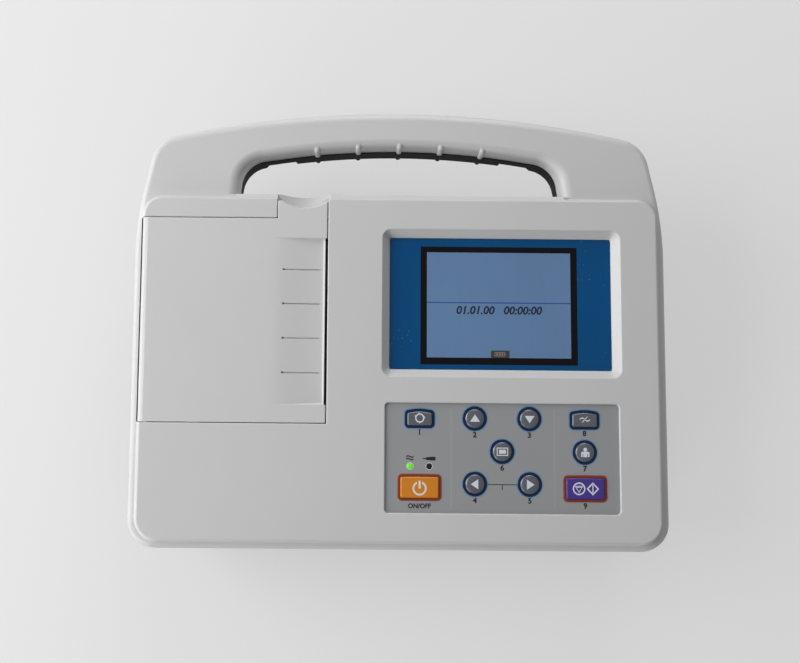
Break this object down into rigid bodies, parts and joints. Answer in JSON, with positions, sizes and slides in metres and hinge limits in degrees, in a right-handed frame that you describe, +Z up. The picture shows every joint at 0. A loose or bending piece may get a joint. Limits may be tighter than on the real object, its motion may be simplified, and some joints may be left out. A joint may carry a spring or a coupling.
{
  "type": "electrocardiograph",
  "caption": "Portable electrocardiograph with a rear carrying handle, colour display, keypad and a side-hinged paper door over a thermal recorder.",
  "frame": {"origin": "on the table, below the middle of the bounding box", "axes": "+X along the front to the user's right, +Y to the handle at the rear, +Z up"},
  "size_m": [0.263, 0.2146, 0.07],
  "materials": {
    "white_plastic": "fine satin",
    "black_plastic": "fine texture",
    "window": "printed, gloss",
    "lcd": "lit display",
    "grey_overlay": "satin film",
    "blue_trim": "gloss",
    "rust_trim": "gloss",
    "grey_key": "satin",
    "orange_key": "satin",
    "violet_key": "satin",
    "green_lamp": "lit",
    "dark_lamp": "unlit",
    "silicone": "matt",
    "circuit": "solder mask",
    "steel": "bright",
    "nickel": "plated",
    "black_rubber": "matt",
    "ivory_acetal": "smooth",
    "motor_case": "zinc plated",
    "brass": "turned",
    "ceramic_head": "glazed",
    "aluminium": "extruded",
    "grey_chassis": "moulded",
    "paper": "coated",
    "core_card": "plain",
    "core_plastic": "smooth",
    "winding": "varnished",
    "cell_wrap": "shrink wrapped",
    "inlet_black": "satin",
    "speaker_black": "matt"
  },
  "bodies": {
    "base": {"upper_housing": "white_plastic", "lower_housing": "black_plastic", "display_window": "window", "lcd_module": "lcd", "keypad_panel": "grey_overlay", "key_rings_blue": "blue_trim", "key_rings_rust": "rust_trim", "lamp_mains": "green_lamp", "lamp_battery": "dark_lamp", "key_mat": "silicone", "keypad_board": "circuit", "keypad_screws": "steel", "hinge_pin": "steel", "idler_pin": "steel", "feed_motor": "motor_case", "head_pin": "steel", "head_springs": "steel", "printer_chassis": "grey_chassis", "chart_paper": "paper", "main_board": "circuit", "lead_board": "circuit", "shield_can": "nickel", "board_standoffs": "brass", "power_board": "circuit", "transformer": "winding", "battery_pack": "cell_wrap", "battery_cover": "black_plastic", "mains_inlet": "inlet_black", "lead_socket": "nickel", "lead_jackscrews": "nickel", "data_socket": "nickel", "earth_stud": "nickel", "speaker": "speaker_black", "rubber_feet": "black_rubber", "housing_screws": "steel", "cover_screws": "steel", "board_screws": "steel", "chassis_screws": "steel"},
    "door": {"paper_door": "white_plastic", "platen_bushes": "ivory_acetal"},
    "platen": {"platen_shaft": "steel", "platen_rubber": "black_rubber", "platen_gear": "ivory_acetal"},
    "idler": {"idler_gear": "ivory_acetal"},
    "pinion": {"motor_pinion": "brass"},
    "head": {"thermal_head": "ceramic_head", "head_plate": "aluminium"},
    "roll": {"paper_roll": "paper", "roll_core": "core_card", "roll_spindle": "core_plastic"},
    "key_mode": {"key_mode": "grey_key"},
    "key_filter": {"key_filter": "grey_key"},
    "key_up": {"key_up": "grey_key"},
    "key_down": {"key_down": "grey_key"},
    "key_menu": {"key_menu": "grey_key"},
    "key_patient": {"key_patient": "grey_key"},
    "key_left": {"key_left": "grey_key"},
    "key_right": {"key_right": "grey_key"},
    "key_power": {"key_power": "orange_key"},
    "key_run": {"key_run": "violet_key"}
  },
  "joints": [
    {"name": "door_hinge", "type": "hinge", "parent": "base", "child": "door", "pos_m": [-0.1215, 0.0027, 0.0666], "axis": [0, -1, 0], "range_deg": [0, 95]},
    {"name": "roll_spin", "type": "hinge", "parent": "base", "child": "roll", "pos_m": [-0.0923, 0.00225, 0.0395], "axis": [0, 1, 0], "continuous": true},
    {"name": "platen_spin", "type": "hinge", "parent": "door", "child": "platen", "pos_m": [-0.042, 0.00225, 0.0615], "axis": [0, 1, 0], "continuous": true},
    {"name": "idler_spin", "type": "hinge", "parent": "base", "child": "idler", "pos_m": [-0.042, 0.0515, 0.0495], "axis": [0, 1, 0], "continuous": true},
    {"name": "pinion_spin", "type": "hinge", "parent": "base", "child": "pinion", "pos_m": [-0.042, 0.0515, 0.0387], "axis": [0, 1, 0], "continuous": true},
    {"name": "head_rock", "type": "hinge", "parent": "base", "child": "head", "pos_m": [-0.0335, 0.00225, 0.0573], "axis": [0, 1, 0], "range_deg": [0, 2.5], "stiffness_Nm_per_rad": 0.5, "springref_deg": -5.73, "deforming": ["head_springs"]},
    {"name": "press_mode", "type": "slide", "parent": "base", "child": "key_mode", "axis": [0, 0, -1], "range_m": [0, 0.0008], "stiffness_N_per_m": 200, "springref_m": -0.0005},
    {"name": "press_filter", "type": "slide", "parent": "base", "child": "key_filter", "axis": [0, 0, -1], "range_m": [0, 0.0008], "stiffness_N_per_m": 200, "springref_m": -0.0005},
    {"name": "press_up", "type": "slide", "parent": "base", "child": "key_up", "axis": [0, 0, -1], "range_m": [0, 0.0008], "stiffness_N_per_m": 200, "springref_m": -0.0005},
    {"name": "press_down", "type": "slide", "parent": "base", "child": "key_down", "axis": [0, 0, -1], "range_m": [0, 0.0008], "stiffness_N_per_m": 200, "springref_m": -0.0005},
    {"name": "press_menu", "type": "slide", "parent": "base", "child": "key_menu", "axis": [0, 0, -1], "range_m": [0, 0.0008], "stiffness_N_per_m": 200, "springref_m": -0.0005},
    {"name": "press_patient", "type": "slide", "parent": "base", "child": "key_patient", "axis": [0, 0, -1], "range_m": [0, 0.0008], "stiffness_N_per_m": 200, "springref_m": -0.0005},
    {"name": "press_left", "type": "slide", "parent": "base", "child": "key_left", "axis": [0, 0, -1], "range_m": [0, 0.0008], "stiffness_N_per_m": 200, "springref_m": -0.0005},
    {"name": "press_right", "type": "slide", "parent": "base", "child": "key_right", "axis": [0, 0, -1], "range_m": [0, 0.0008], "stiffness_N_per_m": 200, "springref_m": -0.0005},
    {"name": "press_power", "type": "slide", "parent": "base", "child": "key_power", "axis": [0, 0, -1], "range_m": [0, 0.0008], "stiffness_N_per_m": 200, "springref_m": -0.0005},
    {"name": "press_run", "type": "slide", "parent": "base", "child": "key_run", "axis": [0, 0, -1], "range_m": [0, 0.0008], "stiffness_N_per_m": 200, "springref_m": -0.0005}
  ],
  "couplings": [
    {"joint": "platen_spin", "follows": "roll_spin", "ratio": 4.3636},
    {"joint": "idler_spin", "follows": "roll_spin", "ratio": -2.9091},
    {"joint": "pinion_spin", "follows": "roll_spin", "ratio": 5.8182}
  ]
}
